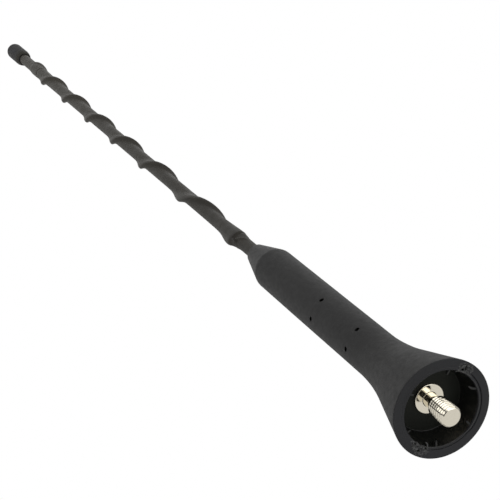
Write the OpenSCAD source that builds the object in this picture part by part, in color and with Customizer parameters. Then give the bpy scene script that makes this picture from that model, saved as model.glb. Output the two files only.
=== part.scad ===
// Screw-in car roof antenna: a rubber foot with a metal screw stud in its cup,
// and a thin mast with one raised spiral rib and a round cap.
//
// Millimetres. The origin is on the mast's axis, in the plane of the foot's rim.
// +Z runs up the mast to its tip. The foot's mould parted in the XZ plane, so
// the pin holes of the mould run along Y.

/* [Foot] */
// Outer radius of the foot's rim
rim_r = 11.9; // [11.5:0.1:13]
// Rounding of the rim's outer edge
rim_edge = 0.25; // [0.1:0.05:0.4]
// Height of the straight lower part of the flare
flare_h = 14.8; // [13:0.1:16]
// Radius of the curve that runs the flare out into the barrel
flare_curve_r = 64; // [60:1:80]
// Height at which the flare has become the barrel
flare_top = 31.5; // [30:0.1:33]
// Outer radius of the straight barrel
barrel_r = 5.9; // [5.6:0.1:6.3]
// Height of the shoulder where the barrel turns into the top cone
shoulder_z = 92.3; // [88:0.1:94]
// Length of the rounding on each side of that shoulder
shoulder_round = 0.5; // [0.3:0.1:1.6]
// Height of the foot's top, where the mast comes out
foot_top = 105.5; // [104.5:0.1:108]
// Outer radius of the cone just under its rounded top edge
cone_top_r = 2.95; // [2.7:0.05:3.4]

/* [Cup] */
// Depth of the cup's floor above the rim plane
cup_depth = 6.0; // [5.8:0.1:6.4]
// Radius of the cup at its floor
cup_floor_r = 7.95; // [7.8:0.05:8.3]
// Radius of the cup at its mouth
cup_mouth_r = 9.05; // [8.9:0.05:9.2]
// Radius of the thin groove that separates the mouth's bead from the rim face
groove_r = 10.0; // [9.95:0.05:10.3]
// Width of that groove
groove_w = 0.2; // [0.1:0.05:0.3]
// Depth of that groove
groove_d = 0.25; // [0.15:0.05:0.4]
// Number of small radial fins in the cup's mouth
fin_count = 6; // [4:1:8]
// Direction of the first fin, in degrees from +X
fin_phase = -87; // [-180:1:180]
// Radius that the fins reach in to
fin_tip_r = 7.7; // [7.6:0.1:8.2]
// Thickness of a fin at the wall
fin_root_w = 0.65; // [0.5:0.05:0.8]
// Thickness of a fin at its inner edge
fin_tip_w = 0.35; // [0.25:0.05:0.45]
// Depth of a fin along the wall
fin_h = 2.3; // [1.5:0.1:3]

/* [Mould pin holes] */
// Heights of the two rows of pin holes in the barrel
pin_z = [36.0, 56.0]; // [34:0.5:60]
// Distance of the holes to each side of the middle plane
pin_x = 2.71; // [2.4:0.01:2.9]
// Radius of a pin hole
pin_hole_r = 0.57; // [0.35:0.01:0.6]

/* [Stud] */
// Outer radius of the stud's screw end
thread_r = 2.5; // [2.0:0.5:3]
// How far the screw end stands out below the rim plane
thread_out = 4.4; // [3:0.1:8]
// Height of the screw end's top, above the rim plane
thread_top = 2.1; // [1.5:0.1:3]
// Chamfer at the end of the screw
thread_chamfer = 0.3; // [0.2:0.05:0.4]
// Radius of the plain neck between screw and flange
neck_r = 1.75; // [1.6:0.05:1.9]
// Radius of the stud's flange on the cup's floor
flange_r = 3.6; // [3.3:0.1:4]
// How far the flange stands proud of the cup's floor
flange_proud = 0.5; // [0.3:0.1:0.6]
// Thickness of the flange
flange_t = 1.5; // [1.2:0.1:2]
// Radius of the shank that is buried in the rubber
shank_r = 2.6; // [2.4:0.1:2.8]
// Radius of the spigot that goes into the ferrule
spigot_r = 2.0; // [1.8:0.1:2.2]

/* [Ferrule] */
// Outer radius of the ferrule
ferrule_r = 3.0; // [2.9:0.05:3.1]
// Height of the ferrule's lower end
ferrule_z0 = 14; // [12:0.5:16]
// Height of the ferrule's upper end
ferrule_z1 = 66; // [64:0.5:70]
// Heights of the crimped rings round the ferrule
crimp_z = [19, 22.5, 46, 62]; // [18:0.5:63]
// Width of a crimped ring
crimp_w = 1.2; // [0.8:0.1:1.6]
// Depth of a crimped ring
crimp_d = 0.2; // [0.1:0.05:0.3]

/* [Rod and winding] */
// Radius of the glass-fibre rod
rod_r = 1.25; // [1.2:0.01:1.3]
// Height of the rod's foot, on the end of the stud's spigot
rod_z0 = 26; // [24:0.5:28]
// Height of the rod's top, inside the cap
rod_z1 = 388; // [386:0.5:389]
// Outer radius of the close wire winding on the rod
wire_r = 1.55; // [1.5:0.01:1.55]
// Height of the winding's top
wire_z1 = 378; // [376:0.5:379]

/* [Sleeve and spiral] */
// Outer radius of the plain sleeve, at the foot
sleeve_r = 2.0; // [1.9:0.01:2.05]
// How much wider the sleeve is in radius at the cap
sleeve_grow = 0.15; // [0:0.01:0.2]
// Inner radius of the plain sleeve
sleeve_bore_r = 1.62; // [1.61:0.01:1.64]
// Height of the sleeve's lower end, inside the foot's cone
sleeve_z0 = 96; // [94:0.5:98]
// Height of the sleeve's upper end, inside the cap
sleeve_z1 = 380; // [379.5:0.5:381]
// Height of the spiral rib's lower end
rib_z0 = 117.5; // [116:0.5:120]
// Height of the spiral rib's upper end
rib_z1 = 353; // [350:0.5:354]
// How far the rib stands out of the sleeve
rib_h = 1.2; // [1.19:0.01:1.4]
// Half width of the rib's gentle upper flank, in degrees round the mast
rib_wide = 44; // [36:1:50]
// Half width of the rib's steep lower flank, in degrees round the mast
rib_steep = 24; // [24:1:30]
// Lead of the spiral in the mast's upper part
lead_top = 32.4; // [31:0.1:36]
// Lead of the spiral in the mast's lower part
lead_low = 43.3; // [38:0.1:46]
// Height at which the lead changes
lead_z = 190; // [170:1:220]
// Length over which the lead changes
lead_blend = 7.7; // [4:0.1:12]
// Direction of the rib's crest at a height of 360, in degrees from +X
rib_phase = -100.6; // [-180:0.1:180]
// Radius of the cord under the rib
cord_r = 0.5; // [0.4:0.01:0.5]
// Outer radius of the rings that tie the cord's ends
tie_r = 1.88; // [1.8:0.01:1.9]
// Length of a tie ring
tie_len = 3.2; // [2:0.1:3.4]
// Height of the small lip round the sleeve, below the rib's lower end
lip_z = 117.0; // [116.6:0.1:117.2]
// How far the lip stands out of the sleeve
lip_h = 0.42; // [0.2:0.01:0.5]
// Height of the crease between the lip and the swelling above it
crease_z = 118.3; // [118.1:0.1:118.5]

/* [Cap] */
// Height of the cap's open edge
cap_z0 = 372; // [371:0.5:375]
// Height of the cap's top
cap_top = 393; // [391.5:0.5:394]
// Outer radius of the cap
cap_r = 3.4; // [3.2:0.05:3.6]
// Height of the cap's domed end
dome_h = 3.4; // [2.5:0.1:4]
// How far the cap is drawn in towards the mast at its open edge
cap_draw = 1.0; // [0.3:0.05:1.05]
// Height over which it is drawn in
cap_draw_h = 4.5; // [1:0.1:6]

/* [Hidden] */
$fn = 96;

flange_z = cup_depth - flange_proud;
sleeve_top_r = sleeve_r + sleeve_grow;
tie_low_z = crease_z + 0.8;
tie_top_z = rib_z1 - 4.0;
cord_z0 = tie_low_z + tie_len;
cord_z1 = tie_top_z;

// ---------- curves in the (radius, height) plane ----------

// A point at t of the quadratic curve from a to c that leans towards b
function lean(a, b, c, t) = (1-t)*(1-t)*a + 2*t*(1-t)*b + t*t*c;
// The curve as n steps, without its first point
function bend(a, b, c, n) = [for (i = [1:n]) lean(a, b, c, i/n)];

// Radius of the curved part of the flare at height z
function flare_at(z) = barrel_r + flare_curve_r
    - sqrt(flare_curve_r*flare_curve_r - (flare_top - z)*(flare_top - z));

cone_k = (barrel_r - cone_top_r) / (foot_top - 0.35 - shoulder_z);
function cone_at(z) = barrel_r - cone_k*(z - shoulder_z);

// How much the straight flare narrows for each millimetre of height
flare_k = (rim_r - flare_at(flare_h))/flare_h;

// The foot from the rim's outer edge to the top, outside
boot_outside = concat(
    [[rim_r - rim_edge, 0]],
    bend([rim_r - rim_edge, 0], [rim_r, 0], [rim_r - flare_k*rim_edge, rim_edge], 4),
    [for (i = [0:10]) let (z = flare_h + (flare_top - flare_h)*i/10) [flare_at(z), z]],
    [[barrel_r, shoulder_z - shoulder_round]],
    bend([barrel_r, shoulder_z - shoulder_round], [barrel_r, shoulder_z],
         [cone_at(shoulder_z + shoulder_round), shoulder_z + shoulder_round], 5),
    [[cone_at(foot_top - 0.7), foot_top - 0.7]],
    bend([cone_at(foot_top - 0.7), foot_top - 0.7], [cone_at(foot_top), foot_top],
         [cone_at(foot_top) - 0.6, foot_top], 5));

// The cup from the floor's middle to the rim's face
cup_inside = concat(
    [[0, cup_depth], [cup_floor_r - 0.55, cup_depth]],
    bend([cup_floor_r - 0.55, cup_depth], [cup_floor_r, cup_depth],
         [cup_floor_r + 0.12, cup_depth - 0.55], 4),
    [[cup_mouth_r, 0.5]],
    bend([cup_mouth_r, 0.5], [cup_mouth_r + 0.02, 0.05], [(cup_mouth_r + groove_r - groove_w/2)/2, 0], 4),
    bend([(cup_mouth_r + groove_r - groove_w/2)/2, 0], [groove_r - groove_w/2, 0.03],
         [groove_r - groove_w/2, groove_d], 3),
    [[groove_r + groove_w/2, groove_d], [groove_r + groove_w/2, 0]]);

// A crimped ring of the ferrule, as its four corners going up
function crimp_ring(z) = [[ferrule_r, z - crimp_w/2], [ferrule_r - crimp_d, z - crimp_w/2 + crimp_d],
                          [ferrule_r - crimp_d, z + crimp_w/2 - crimp_d], [ferrule_r, z + crimp_w/2]];
ferrule_side = concat([[ferrule_r, ferrule_z0]],
    [for (z = crimp_z) each crimp_ring(z)], [[ferrule_r, ferrule_z1]]);

// ---------- foot ----------

// The metal and the mast as the rubber was moulded round them
module buried_shape() {
    rotate_extrude() polygon(concat(
        [[0, flange_z], [flange_r, flange_z], [flange_r, flange_z + flange_t],
         [shank_r, flange_z + flange_t], [shank_r, ferrule_z0]],
        ferrule_side,
        [[wire_r, ferrule_z1], [wire_r, sleeve_z0], [sleeve_r, sleeve_z0],
         [sleeve_r, foot_top + 1], [0, foot_top + 1]]));
}

// One fin, pointed in plan and slanted underneath
module fin() {
    wall = cup_mouth_r + 0.15;
    intersection() {
        translate([0, 0, -1]) linear_extrude(height = fin_h + 3)
            polygon([[fin_tip_r, -fin_tip_w/2], [wall, -fin_root_w/2],
                     [wall, fin_root_w/2], [fin_tip_r, fin_tip_w/2]]);
        rotate([90, 0, 0]) translate([0, 0, -1]) linear_extrude(height = 2)
            polygon([[wall, 0.3], [wall, fin_h + 0.3], [cup_mouth_r - 0.5, fin_h + 0.3],
                     [fin_tip_r, 0.75], [fin_tip_r, 0.3]]);
    }
}

module boot() {
    color("#38393c")
    difference() {
        union() {
            rotate_extrude() polygon(concat(cup_inside, boot_outside, [[0, foot_top]]));
            for (i = [0:fin_count-1]) rotate([0, 0, fin_phase + i*360/fin_count]) fin();
        }
        buried_shape();
        for (z = pin_z, x = [-pin_x, pin_x], s = [0, 180])
            rotate([0, 0, s]) translate([x, -sqrt(ferrule_r*ferrule_r - pin_x*pin_x) + 0.6, z])
                rotate([90, 0, 0]) cylinder(r = pin_hole_r, h = barrel_r, $fn = 32);
    }
}

// ---------- metal ----------

// Screw, neck, flange, buried shank and spigot, turned from one bar
module threaded_stud() {
    color("#cdc9bb")
    rotate_extrude() polygon([
        [0, -thread_out], [thread_r - thread_chamfer, -thread_out],
        [thread_r, -thread_out + thread_chamfer], [thread_r, thread_top],
        [neck_r, thread_top], [neck_r, flange_z], [flange_r, flange_z],
        [flange_r, flange_z + flange_t], [shank_r, flange_z + flange_t],
        [shank_r, ferrule_z0], [spigot_r, ferrule_z0], [spigot_r, rod_z0], [0, rod_z0]]);
}

// Tube crimped on the stud's spigot below and on the rod above
module crimp_ferrule() {
    color("#b9b3a2")
    rotate_extrude() polygon(concat(
        ferrule_side,
        [[rod_r, ferrule_z1], [rod_r, rod_z0], [spigot_r, rod_z0], [spigot_r, ferrule_z0]]));
}

// ---------- mast ----------

module core_rod() {
    color("#cfc9a8") translate([0, 0, rod_z0]) cylinder(r = rod_r, h = rod_z1 - rod_z0);
}

// The close turns of wire, as one tube
module wire_winding() {
    color("#b4703c") translate([0, 0, ferrule_z1])
        rotate_extrude() translate([rod_r, 0]) square([wire_r - rod_r, wire_z1 - ferrule_z1]);
}

// Direction of the rib's crest at height z, in degrees from +X. The spiral is
// left-handed, and its lead grows from lead_top to lead_low around lead_z.
function crest(z) = rib_phase + 360/lead_top*(360 - z)
    + (360/lead_low - 360/lead_top)*lead_blend*ln(1 + exp((lead_z - z)/lead_blend));
// Its turn in degrees per millimetre of height
function crest_rate(z) = -360/lead_top
    + (360/lead_top - 360/lead_low)/(1 + exp((z - lead_z)/lead_blend));

function rise(t) = 1/(1 + exp(-t));
function ease(t) = t <= 0 ? 0 : t >= 1 ? 1 : t*t*(3 - 2*t);
// 1 along the rib and 0 beyond its ends
function rib_on(z) = z < rib_z0 - 3.1 || z > rib_z1 + 5.4 ? 0
    : rise((z - crease_z)/0.25)*rise((rib_z1 - z)/1.2);
// The rib's section, where d is the angle from its crest
function rib_at(d) = exp(-pow(abs(d)/(d > 0 ? rib_wide : rib_steep), 2.33));
// The swelling over the tied ends of the cord
function swell(z) = 0.42*exp(-pow((rib_z1 - z)/20, 2)) + 0.51*exp(-pow((z - rib_z0)/10.7, 2));
// The small lip below the swelling, steep above and gentle below
function lip(z) = z < rib_z0 - 3.1 ? 0 : lip_h*exp(-pow((z - lip_z)/(z > lip_z ? 0.65 : 1.5), 2));
// How far the skin stands out of the plain sleeve
function skin(d, z) = rib_on(z)*(rib_h*rib_at(d) + swell(z)*(1 - rib_at(d))) + lip(z)*(1 - rib_on(z));
// Outer radius of the plain sleeve at height z
function sleeve_at(z) = sleeve_r + sleeve_grow*ease((z - 150)/(rib_z1 + 5 - 150));

// Heights of the sleeve's rings: close together at the rib's ends
ring_z = concat([sleeve_z0, rib_z0 - 3.2, rib_z0 - 1.9, lip_z - 0.3, lip_z + 0.2, crease_z - 0.4,
        crease_z + 0.3, crease_z + 0.8],
    [for (z = [rib_z0 + 2.9 : 3.2 : lead_z - 4]) z],
    [for (z = [lead_z - 2 : 2.4 : rib_z1 - 2.6]) z],
    [rib_z1 - 1.2, rib_z1, rib_z1 + 1.3, rib_z1 + 3.3, rib_z1 + 5.5, sleeve_z1]);
rings = len(ring_z);
// Angles from the crest at which each ring has its points, outside and inside
out_d = [-180, -152, -124, -97, -72, -52, -38, -26, -14, 0, 14, 28, 44, 62, 86, 114, 146];
in_d = [-180, -150, -120, -92, -64, -42, -26, -13, 0, 15, 35, 62, 92, 122, 150];
function turn(z) = crest(min(max(z, rib_z0 - 3.2), rib_z1 + 5.5));
function ring(ds, r, z) = [for (d = ds) let (q = r + max(0, skin(d, z)))
    [q*cos(turn(z) + d), q*sin(turn(z) + d), z]];

// Skin with the spiral rib, outside and inside
module mast_sleeve() {
    no = len(out_d);
    ni = len(in_d);
    first_in = rings*no;
    // an angle's match on the other ring, to close the two ends
    function near_in(i) = [for (j = [0:ni-1]) if (in_d[j] <= out_d[i] + 0.001) j][
        len([for (j = [0:ni-1]) if (in_d[j] <= out_d[i] + 0.001) j]) - 1];
    pts = concat([for (z = ring_z) each ring(out_d, sleeve_at(z), z)],
                 [for (z = ring_z) each ring(in_d, sleeve_bore_r, z)]);
    outer = [for (j = [0:rings-2], i = [0:no-1]) let (
                a = j*no + i, b = j*no + (i+1)%no, c = a + no, d = b + no)
                each [[a, d, b], [a, c, d]]];
    inner = [for (j = [0:rings-2], i = [0:ni-1]) let (
                a = first_in + j*ni + i, b = first_in + j*ni + (i+1)%ni, c = a + ni, d = b + ni)
                each [[a, b, d], [a, d, c]]];
    // end faces: a fan from each outer edge to the inner point at or before it,
    // and from each inner edge to the first outer point past it
    function outer_after(j) = [for (i = [0:no-1]) if (out_d[i] >= (j+1 < ni ? in_d[j+1] : 180) - 0.001) i];
    function end_faces(o, p) = concat(
        [for (i = [0:no-1]) [o + i, o + (i+1)%no, p + near_in(i)]],
        [for (j = [0:ni-1]) [o + (len(outer_after(j)) > 0 ? outer_after(j)[0] : 0), p + (j+1)%ni, p + j]]);
    low = end_faces(0, first_in);
    top = end_faces((rings-1)*no, first_in + (rings-1)*ni);
    color("#3a3a37")
    polyhedron(points = pts, faces = concat(outer, inner, low, [for (f = top) [f[0], f[2], f[1]]]));
}

// The cord that lies in the rib, against the winding
module spiral_cord() {
    n = 8;
    steps = 78;
    rho = wire_r/cos(16) + cord_r;
    function mid(z) = [rho*cos(crest(z)), rho*sin(crest(z)), z];
    function along(z) = let (w = rho*crest_rate(z)*PI/180,
        v = [-w*sin(crest(z)), w*cos(crest(z)), 1]) v/norm(v);
    function away(z) = [cos(crest(z)), sin(crest(z)), 0];
    zs = [for (i = [0:steps]) cord_z0 + (cord_z1 - cord_z0)*i/steps];
    pts = [for (z = zs) let (e = away(z), f = cross(along(z), away(z)))
        for (k = [0:n-1]) mid(z) + cord_r*(cos(k*360/n)*e + sin(k*360/n)*f)];
    color("#5a5a56")
    polyhedron(points = pts, faces = concat(
        [[for (k = [0:n-1]) k]],
        [for (i = [0:steps-1], k = [0:n-1]) let (a = i*n + k, b = i*n + (k+1)%n)
            each [[a, a + n, b + n], [a, b + n, b]]],
        [[for (k = [n-1:-1:0]) steps*n + k]]));
}

// The rings round the winding that hold the cord's two ends
module cord_end_ties() {
    color("#8a8578")
    for (z = [tie_low_z, tie_top_z])
        translate([0, 0, z]) rotate_extrude() translate([wire_r, 0]) square([tie_r - wire_r, tie_len]);
}

// ---------- cap ----------

module tip_cap() {
    bore_top = sleeve_z1;
    color("#303236")
    rotate_extrude() polygon(concat(
        [[sleeve_top_r, cap_z0], [cap_r - cap_draw, cap_z0]],
        bend([cap_r - cap_draw, cap_z0], [cap_r - cap_draw/10, cap_z0 + cap_draw_h/5],
             [cap_r, cap_z0 + cap_draw_h], 8),
        [for (a = [0:9:81]) [cap_r*cos(a), cap_top - dome_h + dome_h*sin(a)]],
        [[0, cap_top], [0, rod_z1], [rod_r, rod_z1], [rod_r, bore_top], [sleeve_top_r, bore_top]]));
}

boot();
threaded_stud();
crimp_ferrule();
core_rod();
wire_winding();
spiral_cord();
cord_end_ties();
mast_sleeve();
tip_cap();
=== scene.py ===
import math

import bpy
import numpy as np
from mathutils import Matrix, Vector, noise


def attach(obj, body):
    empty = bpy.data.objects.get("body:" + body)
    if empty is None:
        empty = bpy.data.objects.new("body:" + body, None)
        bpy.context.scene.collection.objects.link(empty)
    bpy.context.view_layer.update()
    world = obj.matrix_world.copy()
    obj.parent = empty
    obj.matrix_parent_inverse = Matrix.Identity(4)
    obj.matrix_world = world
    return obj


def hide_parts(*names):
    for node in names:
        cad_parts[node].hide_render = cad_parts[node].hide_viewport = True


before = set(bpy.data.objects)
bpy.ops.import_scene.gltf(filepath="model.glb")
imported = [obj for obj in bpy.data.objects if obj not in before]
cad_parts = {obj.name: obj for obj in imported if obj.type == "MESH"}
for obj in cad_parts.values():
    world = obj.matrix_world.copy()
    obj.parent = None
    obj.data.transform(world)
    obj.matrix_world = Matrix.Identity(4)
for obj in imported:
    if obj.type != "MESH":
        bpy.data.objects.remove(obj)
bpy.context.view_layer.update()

MM = 0.001
rad = math.radians

# ----------------------------------------------------------------- camera
# Seen from under the foot's rim, on the -Y side, looking up along the mast.
cam_data = bpy.data.cameras.new("photo_camera")
cam_data.sensor_width = 36.0
cam_data.lens = 105.59
cam_data.clip_start = 0.01
cam_data.clip_end = 20.0
cam = bpy.data.objects.new("photo_camera", cam_data)
bpy.context.scene.collection.objects.link(cam)
cam_right = Vector((0.489657, 0.786207, -0.376983))
cam_up = Vector((0.865784, -0.387231, 0.316971))
cam_back = Vector((0.103224, -0.481593, -0.870295))
cam_at = Vector((0.042357, -0.199275, -0.250153))
cam.matrix_world = Matrix((
    (cam_right.x, cam_up.x, cam_back.x, cam_at.x),
    (cam_right.y, cam_up.y, cam_back.y, cam_at.y),
    (cam_right.z, cam_up.z, cam_back.z, cam_at.z),
    (0, 0, 0, 1)))
bpy.context.scene.camera = cam


# ----------------------------------------------------------------- meshes
def make_object(name, verts, faces, smooth_angle=40.0, mats=(), face_mat=None):
    me = bpy.data.meshes.new(name)
    me.from_pydata([tuple(v) for v in verts], [], faces)
    me.validate()
    ob = bpy.data.objects.new(name, me)
    bpy.context.scene.collection.objects.link(ob)
    for m in mats:
        me.materials.append(m)
    if face_mat is not None:
        me.polygons.foreach_set("material_index", np.asarray(face_mat, dtype=np.int32))
    finish_mesh(ob, smooth_angle)
    return ob


def finish_mesh(ob, smooth_angle):
    me = ob.data
    me.polygons.foreach_set("use_smooth", np.ones(len(me.polygons), dtype=bool))
    me.set_sharp_from_angle(angle=rad(smooth_angle))
    me.update()


def signed_volume(verts, faces):
    v = np.asarray(verts, dtype=float)
    total = 0.0
    for f in faces:
        a = v[f[0]]
        for k in range(1, len(f) - 1):
            total += np.dot(a, np.cross(v[f[k]], v[f[k + 1]]))
    return total / 6.0


def lathe(profile, angles, move=None, closed=True):
    """Verts (m) and faces of a profile of (r, z) in mm turned about Z.

    move(r, z, az, i) gives each point's own (r, z), in mm. An open profile ends on the axis at both ends.
    """
    n, m = len(profile), len(angles)
    verts, faces = [], []
    poles = {}
    index = np.zeros((n, m), dtype=int)
    for i, (r, z) in enumerate(profile):
        if not closed and i in (0, n - 1):
            zz = move(0.0, z, 0.0, i)[1] if move else z
            index[i, :] = len(verts)
            poles[i] = True
            verts.append((0.0, 0.0, zz * MM))
            continue
        for j, a in enumerate(angles):
            rr, zz = move(r, z, a, i) if move else (r, z)
            index[i, j] = len(verts)
            verts.append((rr * math.cos(a) * MM, rr * math.sin(a) * MM, zz * MM))
    rows = n if closed else n - 1
    for i in range(rows):
        k = (i + 1) % n
        for j in range(m):
            l = (j + 1) % m
            a, b, c, d = index[i, j], index[k, j], index[k, l], index[i, l]
            if i in poles:
                faces.append((int(a), int(b), int(c)))
            elif k in poles:
                faces.append((int(a), int(b), int(d)))
            else:
                faces.append((int(a), int(b), int(c), int(d)))
    if signed_volume(verts, faces) < 0:
        faces = [f[::-1] for f in faces]
    return verts, faces


def lean(a, b, c, t):
    return ((1-t)**2*a[0] + 2*t*(1-t)*b[0] + t*t*c[0], (1-t)**2*a[1] + 2*t*(1-t)*b[1] + t*t*c[1])


def bend(a, b, c, n):
    return [lean(a, b, c, i/n) for i in range(1, n + 1)]


def line(a, b, n):
    return [(a[0] + (b[0]-a[0])*i/n, a[1] + (b[1]-a[1])*i/n) for i in range(1, n + 1)]


def n3(x, y, z, s=1.0, seed=0.0):
    return noise.noise(Vector((x*s + seed, y*s + seed*1.7, z*s - seed)))


def smooth(a, b, x):
    t = min(1.0, max(0.0, (x - a)/(b - a)))
    return t*t*(3 - 2*t)


def wrap(a):
    return (a + math.pi) % (2*math.pi) - math.pi


def boolean(ob, cutter, how):
    mod = ob.modifiers.new(how, "BOOLEAN")
    mod.object = cutter
    mod.operation = how
    mod.solver = "EXACT"
    deps = bpy.context.evaluated_depsgraph_get()
    me = bpy.data.meshes.new_from_object(ob.evaluated_get(deps))
    ob.modifiers.clear()
    old = ob.data
    ob.data = me
    bpy.data.meshes.remove(old)
    old = cutter.data
    bpy.data.objects.remove(cutter)
    bpy.data.meshes.remove(old)


# ----------------------------------------------------------------- materials
class Mat:
    """A node material with short calls for its parts. Positions are the frame's own, in millimetres."""

    def __init__(self, name):
        self.mat = bpy.data.materials.new(name)
        self.mat.use_nodes = True
        self.t = self.mat.node_tree
        self.t.nodes.clear()
        self.out = self.t.nodes.new("ShaderNodeOutputMaterial")
        self.bsdf = self.t.nodes.new("ShaderNodeBsdfPrincipled")
        self.t.links.new(self.bsdf.outputs[0], self.out.inputs["Surface"])
        tc = self.t.nodes.new("ShaderNodeTexCoord")
        sc = self.t.nodes.new("ShaderNodeVectorMath")
        sc.operation = "SCALE"
        sc.inputs["Scale"].default_value = 1000.0
        self.t.links.new(tc.outputs["Object"], sc.inputs[0])
        self.pos = sc.outputs["Vector"]

    def link(self, a, b):
        self.t.links.new(a, b)

    def setv(self, name, value):
        self.bsdf.inputs[name].default_value = value

    def noise(self, scale, detail=2.0, rough=0.5, vec=None, distortion=0.0):
        n = self.t.nodes.new("ShaderNodeTexNoise")
        n.inputs["Scale"].default_value = scale
        n.inputs["Detail"].default_value = detail
        n.inputs["Roughness"].default_value = rough
        n.inputs["Distortion"].default_value = distortion
        self.link(vec or self.pos, n.inputs["Vector"])
        return n.outputs["Fac"]

    def voronoi(self, scale, feature="F1", vec=None):
        n = self.t.nodes.new("ShaderNodeTexVoronoi")
        n.feature = feature
        n.inputs["Scale"].default_value = scale
        self.link(vec or self.pos, n.inputs["Vector"])
        return n.outputs["Distance"]

    def stretch(self, x, y, z, vec=None):
        n = self.t.nodes.new("ShaderNodeVectorMath")
        n.operation = "MULTIPLY"
        self.link(vec or self.pos, n.inputs[0])
        n.inputs[1].default_value = (x, y, z)
        return n.outputs["Vector"]

    def math(self, op, a, b=None, c=None, clamp=False):
        n = self.t.nodes.new("ShaderNodeMath")
        n.operation = op
        n.use_clamp = clamp
        for k, v in enumerate((a, b, c)):
            if v is None:
                continue
            if isinstance(v, (int, float)):
                n.inputs[k].default_value = v
            else:
                self.link(v, n.inputs[k])
        return n.outputs[0]

    def ramp(self, fac, lo, hi, out_lo=0.0, out_hi=1.0):
        n = self.t.nodes.new("ShaderNodeMapRange")
        n.inputs["From Min"].default_value = lo
        n.inputs["From Max"].default_value = hi
        n.inputs["To Min"].default_value = out_lo
        n.inputs["To Max"].default_value = out_hi
        self.link(fac, n.inputs["Value"])
        return n.outputs["Result"]

    def mix(self, fac, a, b):
        n = self.t.nodes.new("ShaderNodeMix")
        n.data_type = "RGBA"
        for k, v in ((0, fac), (6, a), (7, b)):
            if isinstance(v, (int, float)):
                n.inputs[k].default_value = v
            elif isinstance(v, (tuple, list)):
                n.inputs[k].default_value = (*v, 1.0) if len(v) == 3 else v
            else:
                self.link(v, n.inputs[k])
        return n.outputs[2]

    def xyz(self):
        n = self.t.nodes.new("ShaderNodeSeparateXYZ")
        self.link(self.pos, n.inputs[0])
        return n.outputs

    def bump(self, height, dist_mm, strength=1.0, after=None):
        n = self.t.nodes.new("ShaderNodeBump")
        n.inputs["Strength"].default_value = strength
        n.inputs["Distance"].default_value = dist_mm*MM
        self.link(height, n.inputs["Height"])
        if after is not None:
            self.link(after, n.inputs["Normal"])
        return n.outputs["Normal"]

    def normal(self, n):
        self.link(n, self.bsdf.inputs["Normal"])

    def color(self, c):
        self.link(c, self.bsdf.inputs["Base Color"])

    def rough(self, r):
        self.link(r, self.bsdf.inputs["Roughness"])


def grey(v, tint=(1.0, 1.0, 1.0)):
    return (v*tint[0], v*tint[1], v*tint[2])


BOOT_TINT = (0.98, 0.99, 1.04)
MAST_TINT = (1.12, 1.01, 0.82)


def boot_outer_material():
    m = Mat("boot_outer")
    fine = m.noise(4.2, 3.0, 0.65)
    cells = m.voronoi(3.1)
    mottle = m.noise(0.75, 3.0, 0.6)
    broad = m.noise(0.09, 2.0, 0.5)
    c = m.mix(m.ramp(mottle, 0.32, 0.68), grey(0.007, BOOT_TINT), grey(0.012, BOOT_TINT))
    c = m.mix(m.ramp(fine, 0.45, 0.75, 0.0, 0.45), c, grey(0.020, BOOT_TINT))
    c = m.mix(m.ramp(broad, 0.35, 0.65, 0.0, 0.25), c, grey(0.008, BOOT_TINT))
    # sparse pale specks, as moulded rubber picks up
    speck = m.noise(2.6, 1.0, 0.5)
    c = m.mix(m.ramp(speck, 0.66, 0.74, 0.0, 0.6), c, grey(0.040, BOOT_TINT))
    # the flare is a little darker and duller than the barrel
    x, y, z = m.xyz()
    flare = m.ramp(z, 12.0, 30.0, 1.0, 0.0)
    c = m.mix(m.math("MULTIPLY", flare, 0.25), c, grey(0.004, BOOT_TINT))
    m.color(c)
    m.rough(m.math("ADD", m.ramp(mottle, 0.3, 0.7, 0.50, 0.62), m.math("MULTIPLY", flare, 0.06)))
    m.setv("Specular IOR Level", 0.5)
    b = m.bump(cells, 0.05, 0.55)
    b = m.bump(fine, 0.06, 0.6, b)
    m.normal(b)
    return m.mat


def boot_rim_material():
    m = Mat("boot_rim")
    fine = m.noise(3.5, 3.0, 0.6)
    mottle = m.noise(0.8, 2.0, 0.5)
    c = m.mix(m.ramp(mottle, 0.3, 0.7), (0.0040, 0.0044, 0.0062), (0.0060, 0.0064, 0.0085))
    c = m.mix(m.ramp(fine, 0.5, 0.75, 0.0, 0.35), c, (0.012, 0.0125, 0.015))
    m.color(c)
    m.rough(m.ramp(mottle, 0.3, 0.7, 0.50, 0.60))
    m.setv("Specular IOR Level", 0.42)
    m.normal(m.bump(fine, 0.04, 0.5))
    return m.mat


def boot_cup_material():
    m = Mat("boot_cup")
    fine = m.noise(2.2, 2.0, 0.5)
    c = m.mix(m.ramp(fine, 0.3, 0.7), (0.0024, 0.0026, 0.0022), (0.0044, 0.0047, 0.0040))
    m.color(c)
    m.rough(m.ramp(fine, 0.3, 0.7, 0.30, 0.38))
    m.normal(m.bump(fine, 0.02, 0.4))
    return m.mat


def boot_floor_material():
    """The cup's floor: duller than its wall, where the core was pulled from it."""
    m = Mat("boot_floor")
    fine = m.noise(2.6, 3.0, 0.6)
    broad = m.noise(0.25, 2.0, 0.5)
    c = m.mix(m.ramp(fine, 0.3, 0.7), (0.0022, 0.0025, 0.0020), (0.0040, 0.0044, 0.0036))
    c = m.mix(m.ramp(broad, 0.35, 0.65, 0.0, 0.5), c, (0.0042, 0.0048, 0.0038))
    m.color(c)
    m.rough(m.ramp(fine, 0.3, 0.7, 0.46, 0.58))
    m.setv("Specular IOR Level", 0.26)
    m.setv("Specular Tint", (0.96, 1.0, 0.88, 1.0))
    m.normal(m.bump(fine, 0.03, 0.5))
    return m.mat


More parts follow.
